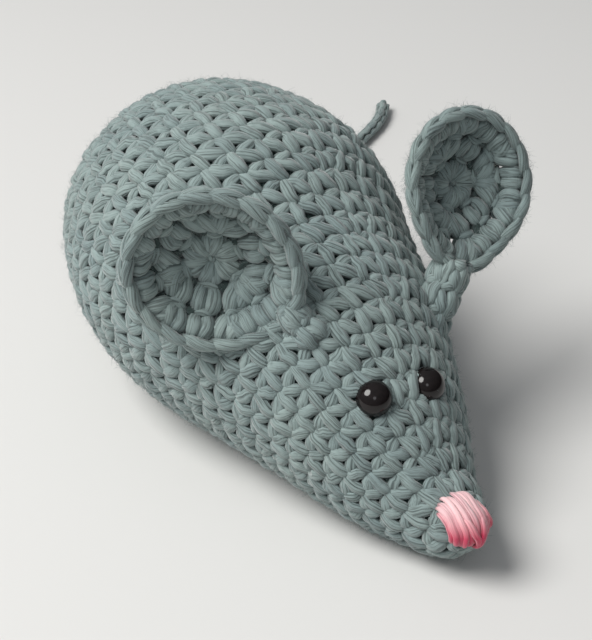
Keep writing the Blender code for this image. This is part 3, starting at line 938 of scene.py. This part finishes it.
def rim_sweeps(ear, size):
    """The braided edge: a ring of chain stitches, each with an arm inside and an arm outside."""
    links, spare = EAR_COUNTS[-1], 2  # the ring's surface goes on for spare links past both ends
    turn = np.linspace(-2 * math.pi * spare / links, 2 * math.pi * (1 + spare / links), 400)
    out = np.full_like(turn, EAR_RIM_OUT)
    line = ear_points(ear, out, turn)
    inward = ear_points(ear, out - 0.03, turn) - ear_points(ear, out + 0.03, turn)
    pitch = lengths_along(line)[-1] / (links + 2 * spare)
    surface, _ = tube_surface(line, -inward, pitch, EAR_RIM_RADIUS)
    sweeps = []
    for mirrored in (False, True):
        routes = chain_column(links, spare, mirrored, 0, RIM_ARM)
        places = on_map(EAR_RIM_MAP, np.arange(links) / links, mirrored)
        sweeps.append(sweep(surface, routes, RIM_SIZE, places, scale=size, twist=RIM_TWIST))
    across = chance.uniform(-0.35, 0.35, RIM_FIBRES)
    along = chance.uniform(spare, links + spare, RIM_FIBRES)
    places = on_map(EAR_RIM_MAP, (along - spare) / links, 0.5 + across)
    return sweeps + [loose_fibres(surface, across, along, places)]


def stem_sweeps(ear):
    """Rounds of stitches that draw the ear's corner down onto the head."""
    root = np.array(ear["root"]) * MM + np.array(ORIGIN)
    corner = ear_points(ear, np.array([STEM_CORNER]), np.array([0.0]))[0]
    steps = np.linspace(STEM_FROM, STEM_TO, 40)[:, None]
    line = root + (corner - root) * steps
    up = np.broadcast_to(ear_frame(ear)[3], line.shape)
    length = np.linalg.norm(line[-1] - line[0])
    rounds = round(length / ROUND_HEIGHT)
    tube, _ = tube_surface(line, up, length / rounds, np.interp(steps[:, 0], (0, 1), ear["stem"]))
    stitches = lay_out([STEM_STITCHES] * (rounds + 1))
    return stitch_sweeps(lambda across, along: tube(-across, along), stitches, STEM_SCALE, rounds, STEM_MAP)


def make_eyes():
    bead = bead_material()
    for name, (from_rump, angle, sink) in EYES.items():
        travel = np.interp(from_rump, np.maximum.accumulate(PROFILE_DISTANCE), PROFILE_ALONG) / ROUND_STEP
        place, normal = (values[0] for values in body_surface(
            np.array([angle / (2 * math.pi)]), np.array([travel])))
        across = unit(np.cross(normal, (0.0, 1.0, 0.0)))
        upward = np.cross(normal, across)
        rise = np.linspace(EYE_UNDER, math.pi / 2, EYE_RINGS)[:, None, None]
        turn = round_angles(EYE_SIDES)[None, :, None]
        points = (place - normal * sink
                  + (across * np.cos(turn) + upward * np.sin(turn)) * EYE_RADIUS * np.cos(rise)
                  + normal * EYE_HEIGHT * np.sin(rise))
        dome = mesh_object(f"bead_{name}", points.reshape(-1, 3), grid_faces(EYE_RINGS, EYE_SIDES), bead)
        riding(dome, "bead", name)


def make_nose(thread):
    """Satin stitches sewn over the tip of the snout, on a small pad."""
    low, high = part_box("nose")
    centre, radii = np.array((low + high) / 2), np.array((high - low) / 2)
    rings, sides = 20, 36
    fall = np.linspace(0.02, math.pi - 0.02, rings)[:, None]
    turn = round_angles(sides)[None, :]
    points = centre + radii * NOSE_PAD * np.stack([np.sin(fall) * np.cos(turn), np.cos(fall) + 0 * turn,
                                                  np.sin(fall) * np.sin(turn)], axis=-1)
    pad = mesh_object("nose_pad", points.reshape(-1, 3), grid_faces(rings, sides), thread)
    riding(pad, "nose_thread")

    def surface(across, along):
        """across is the sideways angle of a thread's plane; along is 0 in front and 90 on top."""
        lean, angle = np.radians(across), np.radians(along)
        direction = np.stack([np.sin(lean) + 0 * angle, -np.cos(lean) * np.cos(angle),
                              np.cos(lean) * np.sin(angle)], axis=-1)
        backwards = np.clip((along - NOSE_BACK_FROM) / (NOSE_BACK_TO - NOSE_BACK_FROM), 0, 1)
        reach = NOSE_REACH + NOSE_BACK_REACH * backwards ** 1.3
        points = centre + NOSE_SHIFT + radii * NOSE_WIDTHS * direction * reach[..., None]
        return points, unit(direction / radii)

    threads = np.array(NOSE_THREADS, float)
    share = np.linspace(0, 1, len(THREAD_LIFTS))[None, :]
    across, along = (threads[:, first, None] * (1 - share) + threads[:, last, None] * share
                     for first, last in ((0, 2), (1, 3)))
    across = across + chance.uniform(-THREAD_STRAY, THREAD_STRAY, across.shape)
    lift = threads[:, 4, None] + np.array(THREAD_LIFTS)
    places = np.stack([0.1 + 0.08 * np.arange(len(threads)), np.full(len(threads), 0.5)], axis=-1)
    strands = sweep(surface, np.stack([across, along, lift], axis=-1), THREAD_SIZE, places,
                    rings=THREAD_RINGS, taper=THREAD_TAPER, twist=THREAD_TWIST)
    riding(yarn_piece("nose_stitches", [strands], thread), "nose_thread", "nose")


def main():
    place_camera()
    yarn = yarn_material("grey_green_cotton", COLOURS["yarn"], COLOURS["yarn_painted_shade"], 0.82, 0.35)
    make_tail(yarn)
    make_body_core()
    make_body_yarn(yarn)
    make_body_fuzz(yarn)
    for name, ear in EARS.items():
        make_ear(name, ear, yarn)
    make_eyes()
    # the pink thread's painted shade: deep in the stitches, in the grooves (0.62, 0.38, 0.43) and
    # underneath
    make_nose(yarn_material("pink_thread", COLOURS["nose"], COLOURS["nose_painted_shade"], 0.42, 0.5, 0.10,
                            (0.62, 0.38, 0.43), (COLOURS["nose_low_shade_and_bounce"], *NOSE_LOW)))
    make_studio()
    bpy.context.view_layer.update()


main()
